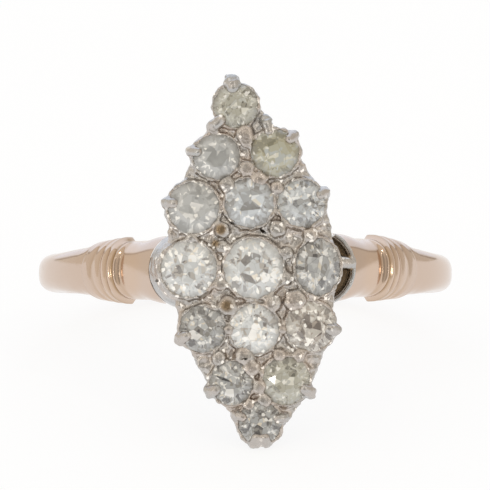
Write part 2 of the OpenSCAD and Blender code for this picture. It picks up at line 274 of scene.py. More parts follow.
def silverFinish(graph, look):
    where = graph.add("ShaderNodeTexCoord", output="Object")
    patches = graph.texture("Noise", where, look["patchScale"], Detail=5.0)
    grain = graph.texture("Noise", where, look["grainScale"], Detail=4.0, Roughness=0.7)
    pits = graph.texture("Voronoi", where, look["grainScale"] * 1.7)
    tone, chance, spare = graph.split(graph.texture("Voronoi", where, look["cellScale"], "Color"))
    uneven = graph.texture("Noise", where, look["unevenScale"], Detail=2.0)
    rough = graph.mark("rough")
    specks = graph.ease(chance, look["specks"], look["specks"] - 0.02) * rough * 0.28
    # soiling and painted shade from the points' marks, broken up by noise, plus small dark specks
    grime = graph.mark("grime") * graph.ease(uneven, 0.36, 0.58, 0.3, 1.0)
    dirt = graph.ease(grime + specks + (patches - 0.5) * 0.7, 0.42, 0.72)
    # rusty stains, and painted shade in the slots beside the right stone
    stain = graph.ease(graph.mark("rust") + (patches - 0.5) * 0.8, 0.3, 0.8)
    metal = graph.blend(graph.ease(patches, 0.4, 0.62), look["colour"], look["warm"])
    worn = [low + tone * look["mottle"] for low in look["wornTint"]]
    mottled = graph.blend(rough, (1, 1, 1), graph.join(*worn), "MULTIPLY")
    metal = graph.blend(1.0, metal, mottled, "MULTIPLY")
    colour = graph.blend(stain, graph.blend(dirt, metal, look["grime"]), look["rust"])
    roughness = look["roughness"] + (grain - 0.5) * 0.35 + dirt * 0.25
    bump = graph.add("ShaderNodeBump", {
        "Strength": 0.8, "Distance": 0.00002, "Height": (grain + pits * 0.6) * (0.25 + rough * 0.75)})
    # painted glints: a few small cells on the worn metal glow through the emission as highlights
    sparkle = graph.ease(spare, 1 - look["sparkle"], 1.01 - look["sparkle"]) * rough * (1 - dirt)
    return graph.add("ShaderNodeBsdfPrincipled", {
        "Base Color": colour, "Metallic": 1.0 - dirt * 0.85, "Roughness": roughness, "Normal": bump,
        "Emission Color": graph.blend(sparkle, (0, 0, 0), look["sparkleColour"]),
        "Emission Strength": look["sparkleLight"]})


# Looks of the stones: tint of the clear cut; how much of it the painted facets cover, how many there are
# across, how dark the lines between them are and how strongly their colour glows as painted light;
# haze over them, and the share of small ones painted as bright glints. The facets' tones are painted
# reflections. Columns of the facets' tones: share of facets up to it, red, green, blue
StoneLook = namedtuple("StoneLook", "tint cover facets lines glow haze flash tones")
stoneLooks = {
    "clear": StoneLook((0.93, 0.955, 0.96), 0.66, 2.9, 0.5, 0.25, 0.25, 0.035, [
        (0.14, 0.13, 0.12, 0.11), (0.32, 0.34, 0.325, 0.295), (0.66, 0.51, 0.525, 0.53),
        (0.86, 0.66, 0.68, 0.68), (0.92, 0.88, 0.78, 0.62), (1.0, 0.98, 0.97, 0.93)]),
    "bright": StoneLook((0.95, 0.955, 0.94), 0.68, 3.2, 0.4, 0.3, 0.3, 0.06, [
        (0.09, 0.17, 0.15, 0.135), (0.24, 0.42, 0.375, 0.32), (0.58, 0.56, 0.57, 0.565),
        (0.8, 0.7, 0.71, 0.7), (0.89, 0.92, 0.83, 0.69), (1.0, 1.0, 0.98, 0.94)]),
    "broad": StoneLook((0.92, 0.95, 0.97), 0.66, 1.7, 0.6, 0.25, 0.25, 0.015, [
        (0.18, 0.22, 0.205, 0.185), (0.44, 0.38, 0.38, 0.37), (0.72, 0.53, 0.55, 0.565),
        (0.9, 0.68, 0.71, 0.73), (0.95, 0.88, 0.8, 0.65), (1.0, 0.96, 0.96, 0.95)]),
    "dusky": StoneLook((0.92, 0.94, 0.93), 0.68, 2.6, 0.6, 0.12, 0.2, 0.04, [
        (0.2, 0.08, 0.07, 0.065), (0.42, 0.3, 0.28, 0.25), (0.72, 0.46, 0.46, 0.45),
        (0.88, 0.62, 0.62, 0.6), (0.93, 0.88, 0.78, 0.62), (1.0, 1.0, 0.98, 0.94)]),
    "milky": StoneLook((0.88, 0.89, 0.88), 0.8, 2.3, 0.08, 0.1, 0.5, 0.05, [
        (0.14, 0.34, 0.34, 0.325), (0.42, 0.46, 0.46, 0.445), (0.82, 0.57, 0.57, 0.555),
        (0.92, 0.68, 0.66, 0.62), (1.0, 1.0, 0.98, 0.93)]),
    "greenish": StoneLook((0.9, 0.88, 0.76), 0.62, 3.0, 0.5, 0.16, 0.15, 0.035, [
        (0.15, 0.14, 0.13, 0.1), (0.36, 0.36, 0.335, 0.265), (0.7, 0.54, 0.52, 0.43),
        (0.9, 0.64, 0.635, 0.58), (1.0, 0.94, 0.91, 0.8)]),
    "champagne": StoneLook((0.9, 0.86, 0.66), 0.66, 1.7, 0.4, 0.08, 0.3, 0.015, [
        (0.16, 0.26, 0.24, 0.155), (0.42, 0.46, 0.42, 0.28), (0.68, 0.59, 0.57, 0.44),
        (0.92, 0.62, 0.65, 0.64), (1.0, 0.95, 0.92, 0.78)]),
    "brownish": StoneLook((0.86, 0.81, 0.74), 0.64, 3.4, 0.5, 0.34, 0.15, 0.06, [
        (0.18, 0.12, 0.095, 0.08), (0.4, 0.33, 0.28, 0.23), (0.68, 0.5, 0.47, 0.42),
        (0.86, 0.68, 0.64, 0.58), (1.0, 1.0, 0.96, 0.88)])}
# Dull tone towards the rim of every stone, where it mirrors the metal round it
rimLook = {"colour": (0.27, 0.255, 0.23), "share": 0.75}
# Dark flaws, by stone: place in the stone, half length, half width and turn
flaws = {12: (-0.237, 0.364, 0.36, 0.06, -48.7)}


def stoneFinish(graph, look, seed):
    x, y, z = graph.split(graph.mark("inStone", "Vector"))
    away = (x * x + y * y) ** 0.5
    # inner facets are broad; towards the rim they turn into a fan of short dashes
    turn = graph.sums("ARCTAN2", y, x) * (2.4 / pi)
    inner = graph.join(x + seed * 3.7, y - seed * 1.9, seed * 0.83)
    outer = graph.join(turn * 3.0 + seed * 2.3, away * 1.4, seed * 1.31)
    broad, dashes, fine = (
        graph.split(graph.texture("Voronoi", where, scale, "Color"))[0]
        for where, scale in ((inner, look.facets), (outer, 2.6), (inner, look.facets * 2.3)))
    edge = graph.add("ShaderNodeTexVoronoi", {"Vector": inner, "Scale": look.facets},
                     feature="DISTANCE_TO_EDGE")
    fan = graph.ease(away, 0.56, 0.66)
    tone = graph.choose(fan, broad, dashes) * 0.5 + fine * 0.22 + graph.mark("facet") * 0.28
    low, stops = 0.0, []
    for share, *colour in look.tones:
        # sums of random tones crowd round the middle, so the shares are spread to match
        stops.append((0.5 + (low - 0.5) * 0.52 if low else 0.0, colour))
        low = share
    facets = graph.add("ShaderNodeValToRGB", {0: tone}, stops=stops)
    line = graph.ease(edge, 0.035, 0.0) * look.lines * (1 - fan)
    colour = graph.blend(line, facets, look.tones[0][1:])
    # hazy parts, where the facets fade into the stone's middle tone
    cloud = graph.texture("Noise", inner, 1.3, Detail=2.0)
    colour = graph.blend(graph.ease(cloud, 0.42, 0.68) * look.haze, colour, look.tones[2][1:])
    rim = graph.ease(away, 0.62, 0.98) * graph.ease(cloud, 0.34, 0.6, 0.35, 1.0) * rimLook["share"]
    colour = graph.blend(rim, colour, rimLook["colour"])
    # painted glints: small cells turned near white
    small = graph.split(graph.texture("Voronoi", inner, 8.5, "Color"))[1]
    colour = graph.blend(graph.ease(small, 1 - look.flash, 1.002 - look.flash), colour, (1.0, 0.97, 0.9))
    if seed in flaws:
        midX, midY, half, width, turned = flaws[seed]
        c, s = cos(radians(turned)), sin(radians(turned))
        along = ((x - midX) * c + (y - midY) * s) / half
        aside = ((y - midY) * c - (x - midX) * s) / width
        near = graph.ease(along * along + aside * aside, 1.2, 0.7)
        colour = graph.blend(near, colour, (0.03, 0.03, 0.03))
    # the body's colour is painted: its facet tones stand in for the reflections inside a cut stone, and the
    # emission makes them glow as painted light
    body = graph.add("ShaderNodeBsdfPrincipled", {
        "Base Color": colour, "Roughness": 0.1, "IOR": 1.9, "Emission Color": colour,
        "Emission Strength": look.glow})
    clear = graph.add("ShaderNodeBsdfPrincipled", {
        "Base Color": look.tint, "Roughness": 0.0, "IOR": 2.42, "Transmission Weight": 1.0})
    return graph.add("ShaderNodeMixShader", {0: look.cover, 1: clear, 2: body})


gold = finish("rose_gold", goldFinish, goldLook)
silver = finish("worn_white_metal", silverFinish, silverLook)
print("finishes made")


# Layout that several pieces share

headLook = {"girdleHeight": 11.95, "domeDrop": 0.35, "domeLean": 5.0, "spanX": 3.0, "spanY": 7.5,
            "cupDepth": 1.05, "plateLength": 16.4, "plateWidth": 7.6, "plateThickness": 0.6,
            "bedDrop": 0.09, "bedThickness": 0.5, "axisLean": 4.5}
cutLook = {"table": 0.5, "crown": 0.17, "pavilion": 0.44, "culet": 0.09, "girdle": 0.03,
           "star": 0.26, "lower": 0.34, "wobble": 0.035}
# Columns: place on the face, diameter, turn, record slot, look, width as a share of the height
Stone = namedtuple("Stone", "x y size turn slot look wide")
stones = [Stone(*row) for row in (
    (-0.81, 7.56, 2.15, 10, "diamond_greenish", "greenish", 1),
    (-1.72, 5.19, 2.2, 31, "diamond_milky", "milky", 1),
    (1.02, 5.38, 2.3, 5, "diamond_champagne", "champagne", 1),
    (-2.78, 2.81, 2.5, 18, "diamond_milky", "milky", 1),
    (-0.19, 3.04, 2.38, 40, "diamond", "broad", 1),
    (2.25, 3.01, 2.28, 0, "diamond", "clear", 1),
    (-2.99, -0.02, 2.7, 24, "diamond", "bright", 1),
    (0.0, 0.0, 2.9, 8, "diamond", "bright", 1),
    (2.99, 0.07, 2.76, 36, "diamond", "dusky", 0.79),
    (-2.37, -2.81, 2.22, 3, "diamond", "dusky", 1),
    (0.05, -2.81, 2.4, 21, "diamond", "bright", 1),
    (2.64, -2.67, 2.4, 12, "diamond_brownish", "brownish", 1),
    (-1.01, -5.31, 2.1, 28, "diamond", "dusky", 1),
    (1.51, -5.19, 2.32, 16, "diamond_champagne", "greenish", 1),
    (0.3, -7.17, 2.1, 33, "diamond_brownish", "dusky", 1))]
sideStones = stones[6], stones[8]


def faceHeight(x, y):
    fall = 0.5 * (x / headLook["spanX"]) ** 2 + (y / headLook["spanY"]) ** 2
    return headLook["girdleHeight"] - headLook["domeDrop"] * np.minimum(1, fall)


def faceLean(x, y):
    return Vector((radians(-headLook["domeLean"] * y / headLook["spanY"]),
                   radians(headLook["domeLean"] * x / headLook["spanX"]), 0))


def facePlace(x, y):
    lean = faceLean(x, y)
    return (Matrix.Translation((x, y, faceHeight(x, y)))
            @ Matrix.Rotation(lean.y, 4, "Y") @ Matrix.Rotation(lean.x, 4, "X"))


def fromRim(stone, x, y):
    # distance of a place on the face from a stone's rim
    return np.hypot((x - stone.x) / stone.wide, y - stone.y) - stone.size / 2


# Shank

shankLook = {"Bore radius": 8.65, "Back thickness": 1.3, "Back width": 1.85, "Waist width": 2.8,
             "Shoulder width": 3.2, "Shoulder thickness": 2.6, "Edge power": 2.7, "Inner power": 7.0,
             "Inner wall": 0.25, "End angle": 18.0, "Collar angle": 53.0, "Collar height": 0.1,
             "Ridge sweep": 1.5, "Collar sweep": 2.9, "End turn": 2.5, "Flank height": 0.15,
             "Flank share": 0.4, "Around": 64, "Along": 900, "Near angle": 60.0, "Near share": 0.6,
             "Cheek radius": 1.85, "Cheek depth": 9.0, "Cheek height": 9.5, "Right shift": 0.12}
# Where the shank changes, as angles from the head
shankSpans = {"narrows": (79.0, 29.0), "widens": (31.0, 25.0), "thickens": (48.0, 22.0),
              "straightens": (78.0, 54.0), "flank in": (37.6, 39.3), "flank out": (53.5, 48.5),
              "right shift": (66.0, 44.0)}
# Rounded waves on each collar. Columns: angle from the head, half width in degrees, and height in
# millimetres for a ridge or strength of the brown darkening in the grooves
ridges = [(37.0, 0.95, 0.21), (39.9, 1.0, 0.18), (43.0, 1.2, 0.1), (46.4, 1.3, 0.06), (49.9, 1.3, 0.04)]
grooves = [(35.8, 0.6, 0.3), (38.5, 0.6, 1.25), (41.4, 0.6, 0.7), (44.7, 0.6, 0.4), (48.2, 0.6, 0.3)]
# Painted shadow on the gold, at the end of the left collar's knob where it is in shade: place along the
# head's short and long axes, radius, strength
goldSpots = [(-5.66, 1.4, 0.15, 1.6)]


def waves(value, rows):
    # highest of several rounded waves
    top = None
    for middle, half, height in rows:
        away = (value - middle) / half
        wave = (-(away * away)).calc("EXPONENT") * height
        top = wave if top is None else top.calc("MAXIMUM", wave)
    return top


def shankRule(graph, start, size):
    tube = graph.add("GeometryNodeMeshCylinder", {
        "Vertices": size["Around"], "Side Segments": size["Along"], "Radius": 1.0, "Depth": 2.0},
        fill_type="NGON")
    x, y, z = graph.split(graph.add("GeometryNodeInputPosition"))
    # angle from the head, with most of the steps on the shoulders and collars
    share, turning = 1 - z.calc("ABSOLUTE"), size["Near angle"]
    near = (share / size["Near share"]).calc("MINIMUM", 1.0)
    far = ((share - size["Near share"]) / (1 - size["Near share"])).calc("MAXIMUM", 0.0)
    angle = size["End angle"] + near * (turning - size["End angle"]) + far * (180 - turning)
    firstRidge, spans = ridges[0][0], shankSpans
    # edges swept back towards the head, a little at the first ridge and most at the collar's far edge
    bow = size["Ridge sweep"] * graph.ease(angle, size["End angle"], firstRidge) \
        + size["Collar sweep"] * graph.ease(angle, firstRidge, size["Collar angle"])
    bow = bow * graph.ease(angle, *spans["straightens"])
    swept = angle - bow
    width = graph.ease(swept, *spans["narrows"], size["Back width"], size["Waist width"]) \
        + graph.ease(swept, *spans["widens"], 0.0, size["Shoulder width"] - size["Waist width"])
    thick = graph.ease(angle, *spans["thickens"], size["Back thickness"], size["Shoulder thickness"])
    # raised collar and its ridges
    collar = size["Collar height"] * graph.ease(angle, size["Collar angle"], size["Collar angle"] - 1.2) \
        * graph.ease(angle, firstRidge - 1.2, firstRidge)
    lift = collar + waves(angle, ridges)
    flank = size["Flank height"] * graph.ease(swept, *spans["flank in"])
    flank = flank * graph.ease(swept, *spans["flank out"]) \
        + waves(swept - size["End turn"], ridges) * size["Flank share"]
    # section: rounded outside, nearly flat inside
    outside = x.calc("GREATER_THAN", 0.0)
    power = 2 / graph.choose(outside, size["Inner power"], size["Edge power"])
    s = y.calc("ABSOLUTE") ** power * y.calc("SIGN")
    c = x.calc("ABSOLUTE") ** power
    wall = size["Inner wall"]
    radius = size["Bore radius"] + wall + c * graph.choose(outside, -wall, thick - wall + lift)
    turn = (angle - bow * s * s) * (pi / 180)
    # the right shoulder stands a little higher than the left one
    shift = size["Right shift"] * z.calc("GREATER_THAN", 0.0) * graph.ease(angle, *spans["right shift"])
    across = turn.calc("SINE") * radius * z.calc("SIGN")
    along = s * (width / 2 + flank) + shift
    height = turn.calc("COSINE") * radius
    # darker brown in the grooves, and painted shadow at the shaded end of the knob
    dirt = waves(angle, grooves)
    for spotX, spotY, r, strength in goldSpots:
        dx, dy = (across - spotX) / r, (along - spotY) / r
        spot = (-(dx * dx + dy * dy)).calc("EXPONENT") * height.calc("GREATER_THAN", 0.0)
        dirt = dirt.calc("MAXIMUM", spot * strength)
    marked = graph.add("GeometryNodeStoreNamedAttribute", {
        "Geometry": tube, "Name": "groove", "Value": dirt}, data_type="FLOAT", domain="POINT")
    bent = graph.add("GeometryNodeSetPosition", {
        "Geometry": marked, "Position": graph.join(across, along, height)})
    # the ends are hollowed round the two stones beside them
    cutters = graph.add("GeometryNodeJoinGeometry")
    for stone in sideStones:
        drum = graph.add("GeometryNodeMeshCylinder", {
            "Vertices": 96, "Radius": size["Cheek radius"], "Depth": size["Cheek depth"]})
        placed = graph.add("GeometryNodeTransform", {
            "Geometry": drum, "Translation": graph.join(stone.x, stone.y, size["Cheek height"])})
        graph.tree.links.new(placed.socket, cutters.socket.node.inputs[0])
    return graph.add("GeometryNodeMeshBoolean", {"Mesh 1": bent, "Mesh 2": cutters},
                     operation="DIFFERENCE", solver="EXACT")


shank = grow("gold_shank", shankRule, shankLook, gold)
smoothShade(shank, 32, outward=True)
layDown(shank, gold)
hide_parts("shank")
print("shank made", len(shank.data.polygons), "faces")


# Stones

def oldCut(name, diameter, look, rng, extra=0.0):
    # brilliant with its girdle at height 0; extra makes the seat that it sits in
    r = diameter / 2
    half = r * look["girdle"]
    wobble = look["wobble"] if rng else 0

    def ring(radius, z, first):
        corners = []
        for k in range(8):
            shake = rng.uniform(-1, 1, 3) * wobble if wobble else (0, 0, 0)
            a = radians(first + 45 * k) + shake[0]
            q = radius * (1 + shake[1])
            corners.append(((q + extra) * cos(a), (q + extra) * sin(a),
                            z * (1 + shake[2] * 0.8) + copysign(extra, z)))
        return corners

    tableR, culetR = r * look["table"], r * look["culet"]
    starR, lowerR = r * (look["table"] + look["star"]), r * look["lower"]
    crown, depth = diameter * look["crown"], diameter * look["pavilion"]
    flat = cos(radians(22.5))
    starZ = crown * (r - starR * flat) / (r - tableR)
    lowerZ = depth * (r - lowerR * flat) / (r - culetR)
    table = [(x, y, half + crown + extra) for x, y, z in ring(tableR, half + crown, 0)]
    star = ring(starR, half + starZ, 22.5)
    top = [((r + extra) * cos(radians(22.5 * j)), (r + extra) * sin(radians(22.5 * j)),
            half + extra / 2) for j in range(16)]
    bottom = [(x, y, -z) for x, y, z in top]
    lower = ring(lowerR, -half - lowerZ, 22.5)
    culet = [(x, y, -half - depth - extra) for x, y, z in ring(culetR, -half - depth, 0)]
    points = table + star + top + bottom + lower + culet
    s, t, b, w, c = 8, 16, 32, 48, 56  # first point of each ring after the table's
    faces = [list(range(8)), [c + 7 - k for k in range(8)]]
    for k in range(8):
        n, p = (k + 1) % 8, (k + 7) % 8
        faces += [[k, s + k, (k + 1) % 8], [k, s + p, t + 2 * k, s + k],
                  [s + k, t + 2 * k, t + 2 * k + 1], [s + k, t + 2 * k + 1, t + (2 * k + 2) % 16],
                  [w + k, b + 2 * k + 1, b + 2 * k], [w + k, b + (2 * k + 2) % 16, b + 2 * k + 1],
                  [c + k, w + k, b + 2 * k, w + p], [c + k, c + n, w + k]]
    for j in range(16):
        faces.append([t + j, b + j, b + (j + 1) % 16, t + (j + 1) % 16])
    inStone = [(x / r, y / r, z / r) for x, y, z in points]
    mesh = meshOf(name, points, faces, inStone=inStone)
    if rng:
        layer = mesh.attributes.new("facet", "FLOAT", "FACE")
        layer.data.foreach_set("value", rng.uniform(0, 1, len(faces)))
    bm = bmesh.new()
    bm.from_mesh(mesh)
    bmesh.ops.triangulate(bm, faces=[f for f in bm.faces if len(f.verts) == 4])
    bmesh.ops.recalc_face_normals(bm, faces=bm.faces)
    bm.to_mesh(mesh)
    bm.free()
    return linked(name, mesh)


def stonePlace(stone):
    return (facePlace(stone.x, stone.y) @ Matrix.Diagonal((stone.wide, 1, 1, 1))
            @ Matrix.Rotation(radians(stone.turn), 4, "Z"))


for i, row in enumerate(stones):
    label = f"{i + 1:02d}"
    stone = oldCut("old_cut_" + label, row.size, cutLook, np.random.default_rng(100 + i))
    stone.data.transform(stonePlace(row))
    layDown(stone, finish("old_cut_" + label, stoneFinish, stoneLooks[row.look], i))
    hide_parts("diamond_" + label)
print("stones cut")


# Head: cups, claws, beads, webs and plate, fused as solder and wear leave them

# Columns: place and radius
outerClaws = [
    (-0.99, 8.62, 0.42), (-1.83, 6.61, 0.36), (0.58, 6.86, 0.32), (-2.85, 5.45, 0.3),
    (1.83, 6.15, 0.32), (-3.92, 3.06, 0.33), (3.32, 3.55, 0.3), (-3.32, -3.22, 0.35),
    (3.72, -2.85, 0.36), (-1.94, -5.7, 0.38), (2.6, -5.7, 0.36), (-0.78, -6.8, 0.28),
    (1.42, -6.9, 0.28), (0.08, -8.06, 0.31), (0.6, -8.04, 0.29)]
innerClaws = [
    (-0.4, 6.25, 0.3), (-0.3, 5.95, 0.22), (-0.32, 4.65, 0.26), (-1.22, 3.9, 0.3),
    (0.28, 4.16, 0.3), (1.1, 3.75, 0.22), (-1.45, 1.8, 0.26), (1.12, 1.85, 0.28),
    (2.62, 1.55, 0.24), (-1.46, 1.02, 0.22), (-2.9, 1.44, 0.22), (1.52, 0.72, 0.22),
    (1.55, -0.45, 0.2), (-1.52, -0.75, 0.2), (-1.22, -1.72, 0.32), (0.9, -1.62, 0.28),
    (1.95, -1.47, 0.36), (-1.12, -2.85, 0.18), (1.35, -2.85, 0.18), (-0.42, -4.05, 0.34),
    (1.2, -4.02, 0.22), (-0.1, -4.62, 0.28), (2.1, -4.05, 0.22), (-1.6, -4.15, 0.22),
    (0.28, -5.45, 0.24), (0.53, -6.12, 0.3), (-0.2, -6.3, 0.2)]
# Points of the metal between the outer stones
webs = [(-3.05, 4.35), (2.55, 4.55), (-3.95, 1.6), (3.6, 1.95), (-3.55, -1.65), (3.75, -1.6),
        (-2.62, -4.45), (3.0, -4.05), (2.98, -4.72)]
# Dark gaps and pits in that metal: place, length, width, turn and depth
pits = [(-2.32, -1.2, 0.62, 0.26, 22, 0.3), (-1.06, -4.02, 0.66, 0.17, 78, 0.35),
        (0.58, -5.77, 0.15, 0.12, 0, 0.3), (1.37, -5.9, 0.15, 0.12, 0, 0.3),
        (-0.93, 2.1, 0.3, 0.13, -12, 0.62), (0.45, 1.72, 0.36, 0.15, -35, 0.62),
        (-0.42, -4.2, 0.3, 0.1, 5, 0.45), (1.47, 0.2, 0.36, 0.1, 85, 0.25),
        (-1.47, 0.05, 0.5, 0.09, 88, 0.25)]
solderPits = [(-4.46, -0.56, 0.17, 0.14, 0, 0.9)]
clawLook = {"stemDepth": 0.95, "stemMiddle": 0.45, "bulb": 0.98, "flat": 0.7, "tongue": 0.22,
            "shortTongue": 0.1, "tongueRadius": 0.75, "tongueRise": 0.15, "bead": 1.1, "beadDepth": 0.8,
            "beadFlat": 0.4, "beadLap": 0.12, "beadRise": 0.13}
fuseLook = {"voxel": 0.055, "smooth": 5, "keep": 0.6}


def nearStones(x, y):
    # the stones and the distances from their rims, nearest first
    return sorted((float(fromRim(stone, x, y)), stone) for stone in stones)


def crownHeight(stone, x, y):
    # height of a stone's crown over a place on the face
    r = stone.size / 2
    share = min(1, max(0, -fromRim(stone, x, y) / (r * (1 - cutLook["table"]))))
    lean = faceLean(stone.x, stone.y)
    tilt = (y - stone.y) * tan(lean.x) - (x - stone.x) * tan(lean.y)
    return (faceHeight(stone.x, stone.y) + tilt + r * cutLook["girdle"]
            + share * stone.size * cutLook["crown"])


def taper(points, radii, flat=1.0):
    # adds points that round off the last end of a rod
    a, b = Vector(points[-2]), Vector(points[-1])
    along, r, steps = (b - a).normalized(), radii[-1], 4
    for k in range(1, steps + 1):
        t = sin(pi / 2 * k / steps) * 0.995
        points.append(tuple(b + along * r * t * flat))
        radii.append(r * sqrt(1 - t * t))
    return points, radii


def clawRods():
    rods, look = [], clawLook
    for x, y, r in outerClaws:
        gap, stone = nearStones(x, y)[0]
        z = faceHeight(x, y)
        bulb = r * look["bulb"]
        stem = [(x * 0.955, y * 0.955, z - look["stemDepth"]), (x * 0.98, y * 0.98, z - look["stemMiddle"]),
                (x, y, z - 0.1), (x, y, z + 0.04)]
        rods.append(taper(stem, [r * 0.74, r * 0.82, bulb, bulb], look["flat"]))
        # a tongue leans over the stone's edge
        inward = Vector((stone.x - x, stone.y - y, 0)).normalized()
        reach = look["shortTongue"] if gap > 0.2 else look["tongue"]
        tip = Vector((x, y, 0)) + inward * (max(gap, 0) + reach)
        tipR = r * look["tongueRadius"]
        tip.z = crownHeight(stone, tip.x, tip.y) + tipR * look["tongueRise"]
        rods.append(taper([(x, y, z + 0.08), tuple(tip)], [r * 0.85, tipR]))
    for x, y, r in innerClaws:
        z = faceHeight(x, y)
        secondGap = nearStones(x, y)[1][0]
        bead = max(r * look["bead"], min(secondGap + look["beadLap"], r * 1.5))
        rods.append(taper([(x, y, z - look["beadDepth"]), (x, y, z - 0.2), (x, y, z + look["beadRise"])],
                          [bead, bead, bead * 0.97], look["beadFlat"]))
    return rods


def rodRule(graph, start, size):
    path = graph.add("GeometryNodeMeshToCurve", {"Mesh": start})
    curved = graph.add("GeometryNodeCurveSplineType", {0: path}, spline_type="CATMULL_ROM")
    even = graph.add("GeometryNodeResampleCurve", {0: curved, "Count": size["Steps"]}, mode="COUNT")
    thick = graph.add("GeometryNodeInputNamedAttribute", {"Name": "thick"}, data_type="FLOAT")
    ring = graph.add("GeometryNodeCurvePrimitiveCircle", {"Resolution": size["Sides"], "Radius": 1.0})
    return graph.add("GeometryNodeCurveToMesh", {
        "Curve": even, "Profile Curve": ring, "Scale": thick, "Fill Caps": True})


def rodsOf(name, rods, sides, steps):
    points, edges, thick = [], [], []
    for path, radii in rods:
        first = len(points)
        points += path
        thick += radii
        edges += [(first + k, first + k + 1) for k in range(len(path) - 1)]
    return grow(name, rodRule, {"Sides": sides, "Steps": steps}, silver,
                meshOf(name + "Paths", points, edges=edges, thick=thick))


def setRule(graph, start, size):
    # puts one part on every point, turned and sized by the points' own values
    turn, scale = (graph.add("GeometryNodeInputNamedAttribute", {"Name": name}, data_type="FLOAT_VECTOR")
                   for name in ("turn", "size"))
    return graph.add("GeometryNodeInstanceOnPoints", {
        "Points": graph.add("GeometryNodeMeshToPoints", {"Mesh": start}),
        "Instance": graph.add("GeometryNodeObjectInfo", {"Object": size["Part"]}, "Geometry"),
        "Rotation": turn, "Scale": scale})


def turned(name, profile, sides):
    # closed profile of radius and height, turned round the Z axis
    return skin(name, [[(r * cos(a), r * sin(a), z) for r, z in profile] for a in circle(sides)], True)


# Cup for a stone of radius 1, open at the back: outside from the foot up, rim, seat, inside
cupProfile = [(0.8, -0.88), (0.86, -0.84), (1.00, -0.42), (1.065, -0.18), (1.075, -0.08), (1.07, 0.0),
              (1.05, 0.06), (1.01, 0.095), (0.955, 0.09), (0.94, 0.03), (0.93, -0.36), (0.7, -0.84),
              (0.73, -0.88)]
cupPart = turned("cupPart", cupProfile, 64)


def prism(name, outline, low, high):
    # upright solid; low and high give the height of its ends over a place
    return skin(name, [[(x, y, end(x, y)) for x, y in outline] for end in (low, high)])


def pointedOval(length, width, lean, steps=24):
    # outline of two arcs, its long axis leaning as the head does
    r = (length ** 2 + width ** 2) / (4 * width)
    top = asin(length / 2 / r)
    arc = [(r * cos(a) - (r - width / 2), r * sin(a)) for a in np.linspace(-top, top, steps)]
    outline = arc + [(-x, -y) for x, y in arc[1:-1]]
    a = radians(lean)
    return [(x * cos(a) - y * sin(a), x * sin(a) + y * cos(a)) for x, y in outline]


def bed():
    # domed sheet of metal that fills the space between the stones
    outer = [(x * 0.97, y * 0.97) for x, y, r in outerClaws] + webs
    outer.sort(key=lambda p: atan2(p[1], p[0]))
    corners = [Vector(p) for p in outer + [(stone.x, stone.y) for stone in stones]]
    places, sides, triangles = delaunay_2d_cdt(corners, [], [list(range(len(outer)))], 1, 1e-6)[:3]
    drop, thick = headLook["bedDrop"], headLook["bedThickness"]
    return [prism(f"bed{k}", [tuple(places[i]) for i in triangle],
                  lambda x, y: faceHeight(x, y) - drop - thick, lambda x, y: faceHeight(x, y) - drop)
            for k, triangle in enumerate(triangles)]


def headFace():
    points = [(s.x, s.y, faceHeight(s.x, s.y)) for s in stones]
    turns = [tuple(faceLean(s.x, s.y)) for s in stones]
    sizes = [(s.size / 2 * s.wide, s.size / 2, s.size / 2) for s in stones]
    cups = grow("cups", setRule, {"Part": cupPart}, silver,
                meshOf("cupPoints", points, turn=turns, size=sizes))
    claws = rodsOf("claws", clawRods(), 18, 26)
    low = headLook["girdleHeight"] - headLook["cupDepth"]
    outline = pointedOval(headLook["plateLength"], headLook["plateWidth"], headLook["axisLean"])
    plate = prism("plate", outline, lambda x, y: low, lambda x, y: low + headLook["plateThickness"])
    return joined("face_metal", cups, claws, plate, *bed())


def seats():
    # room for the stones, and the open backs of the cups
    rooms, backs = [], []
    for k, stone in enumerate(stones):
        rooms.append(oldCut(f"seat{k}", stone.size, cutLook, None, extra=0.005))
        rooms[-1].data.transform(stonePlace(stone))
        r = stone.size / 2
        back = turned(f"back{k}", [(0.001, -1.6), (0.62 * r, -1.6), (0.8 * r, -0.55), (0.001, -0.55)], 32)
        back.data.transform(facePlace(stone.x, stone.y) @ Matrix.Diagonal((stone.wide, 1, 1, 1)))
        backs.append(back)
    return rooms, backs


def pitCutters(rows):
    cutters = []
    for k, (x, y, length, width, turn, depth) in enumerate(rows):
        a = radians(turn)
        outline = [(x + length / 2 * cos(b) * cos(a) - width / 2 * sin(b) * sin(a),
                    y + length / 2 * cos(b) * sin(a) + width / 2 * sin(b) * cos(a)) for b in circle(16)]
        cutters.append(prism(f"pit{k}", outline, lambda x, y, depth=depth: faceHeight(x, y) - depth,
                             lambda x, y: faceHeight(x, y) + 0.5))
    return cutters


# Relief of the worn metal, in millimetres; lowest is the height below the face at which it ends
reliefLook = {"Depth": 0.1, "Grain": 3.0, "On claws": 0.3, "Lowest": -0.35}
galleryRelief = {**reliefLook, "Depth": 0.035, "Lowest": -1.3}


def reliefRule(graph, start, size):
    # grain and small hollows of worn metal, strongest on the bed between the stones
    x, y, z = graph.split(graph.add("GeometryNodeInputPosition"))
    across, along = x / headLook["spanX"], y / headLook["spanY"]
    drop = (across * across * 0.5 + along * along).calc("MINIMUM", 1.0) * headLook["domeDrop"]
    height = z - headLook["girdleHeight"] + drop
    share = graph.choose(graph.ease(height, 0.1, 0.22), 1.0, size["On claws"])
    share = share * graph.ease(height, size["Lowest"] - 0.15, size["Lowest"])
    coarse = graph.texture("Noise", None, size["Grain"], Detail=0.0)
    grains = graph.texture("Voronoi", None, size["Grain"] * 2.2)
    push = size["Depth"] * share * ((coarse - 0.5) * 2.2 + (0.45 - grains) * 0.3)
    offset = graph.add("ShaderNodeVectorMath", {0: graph.add("GeometryNodeInputNormal"), "Scale": push},
                       operation="SCALE")
    return graph.add("GeometryNodeSetPosition", {"Geometry": start, "Offset": offset})


